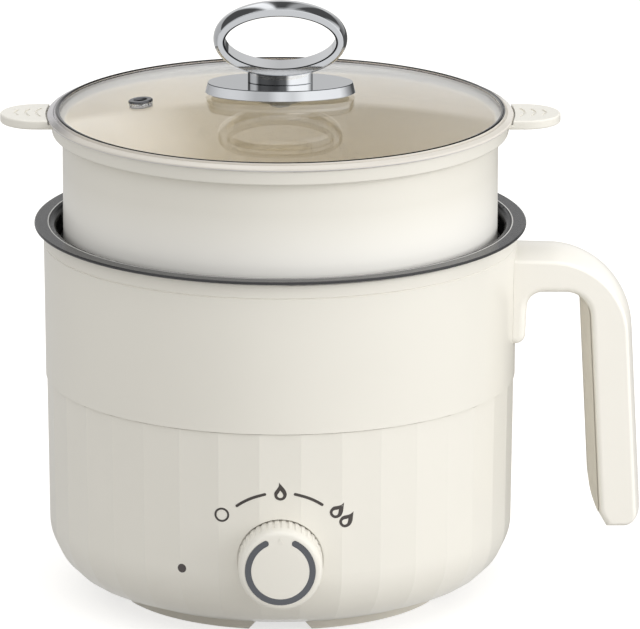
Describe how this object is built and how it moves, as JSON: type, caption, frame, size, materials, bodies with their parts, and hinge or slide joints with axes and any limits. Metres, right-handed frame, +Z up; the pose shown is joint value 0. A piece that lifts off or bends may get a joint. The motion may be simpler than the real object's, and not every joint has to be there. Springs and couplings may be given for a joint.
{
  "type": "electric hot pot",
  "caption": "Round countertop electric hot pot with a stacked steamer basket, glass lid with a ring handle, side handle and front control knob.",
  "frame": {"origin": "on the pot's vertical axis, at the underside of its foot ring", "axes": "+Z up along the pot's axis, -Y towards the front with the control knob, +X towards the side handle"},
  "size_m": [0.2608, 0.2092, 0.2446],
  "materials": {
    "cream_gloss": "gloss",
    "dark_coating": "satin",
    "seal_rubber": "matte",
    "cream_matte": "satin",
    "pad_rubber": "matte",
    "zinc_steel": "satin",
    "cast_aluminium": "cast",
    "element_sheath": "satin",
    "sheet_aluminium": "satin",
    "ceramic_body": "matte",
    "white_plastic": "satin",
    "black_plastic": "satin",
    "dark_chrome": "polished",
    "smoked_lens": "gloss",
    "lamp_glass": "clear",
    "brass_contact": "satin",
    "wire_sleeve": "satin",
    "tempered_glass": "clear",
    "polished_steel": "polished",
    "mirror_chrome": "polished",
    "clear_silicone": "satin"
  },
  "bodies": {
    "base": {"upper_housing": "cream_gloss", "lower_housing": "cream_gloss", "inner_pot": "dark_coating", "flange_seal": "seal_rubber", "base_cover": "cream_matte", "rubber_pads": "pad_rubber", "base_screws": "zinc_steel", "heating_plate": "cast_aluminium", "heating_element": "element_sheath", "heat_shield": "sheet_aluminium", "tie_studs": "zinc_steel", "stud_nuts": "zinc_steel", "thermostat": "ceramic_body", "thermostat_strap": "zinc_steel", "strap_screws": "zinc_steel", "thermal_fuse": "white_plastic", "fuse_clip": "zinc_steel", "rotary_switch": "black_plastic", "switch_nut": "zinc_steel", "indicator_lens": "smoked_lens", "indicator_lamp": "lamp_glass", "lamp_holder": "black_plastic", "inlet_housing": "black_plastic", "inlet_pins": "brass_contact", "terminal_block": "white_plastic", "wiring": "wire_sleeve", "handle_shell": "cream_gloss", "handle_cover": "cream_matte", "cover_screws": "zinc_steel", "handle_bracket": "zinc_steel", "handle_screws": "zinc_steel"},
    "knob": {"control_knob": "cream_gloss", "knob_trim_ring": "dark_chrome", "switch_shaft": "white_plastic", "knob_clip": "zinc_steel"},
    "steamer": {"steamer_basket": "cream_gloss"},
    "lid": {"lid_glass": "tempered_glass", "lid_rim_band": "polished_steel", "vent_eyelet": "mirror_chrome", "disc_gasket": "clear_silicone", "lid_base_disc": "mirror_chrome", "lid_post": "mirror_chrome", "ring_handle": "mirror_chrome", "lid_washer": "clear_silicone", "lid_screw": "zinc_steel"}
  },
  "joints": [
    {"name": "knob_turn", "type": "hinge", "parent": "base", "child": "knob", "pos_m": [0, -0.1, 0.0375], "axis": [0, 1, 0], "range_deg": [-52, 52]},
    {"name": "steamer_lift", "type": "slide", "parent": "base", "child": "steamer", "axis": [0, 0, 1], "range_m": [0, 0.08]},
    {"name": "lid_lift", "type": "slide", "parent": "steamer", "child": "lid", "axis": [0, 0, 1], "range_m": [0, 0.08]}
  ]
}
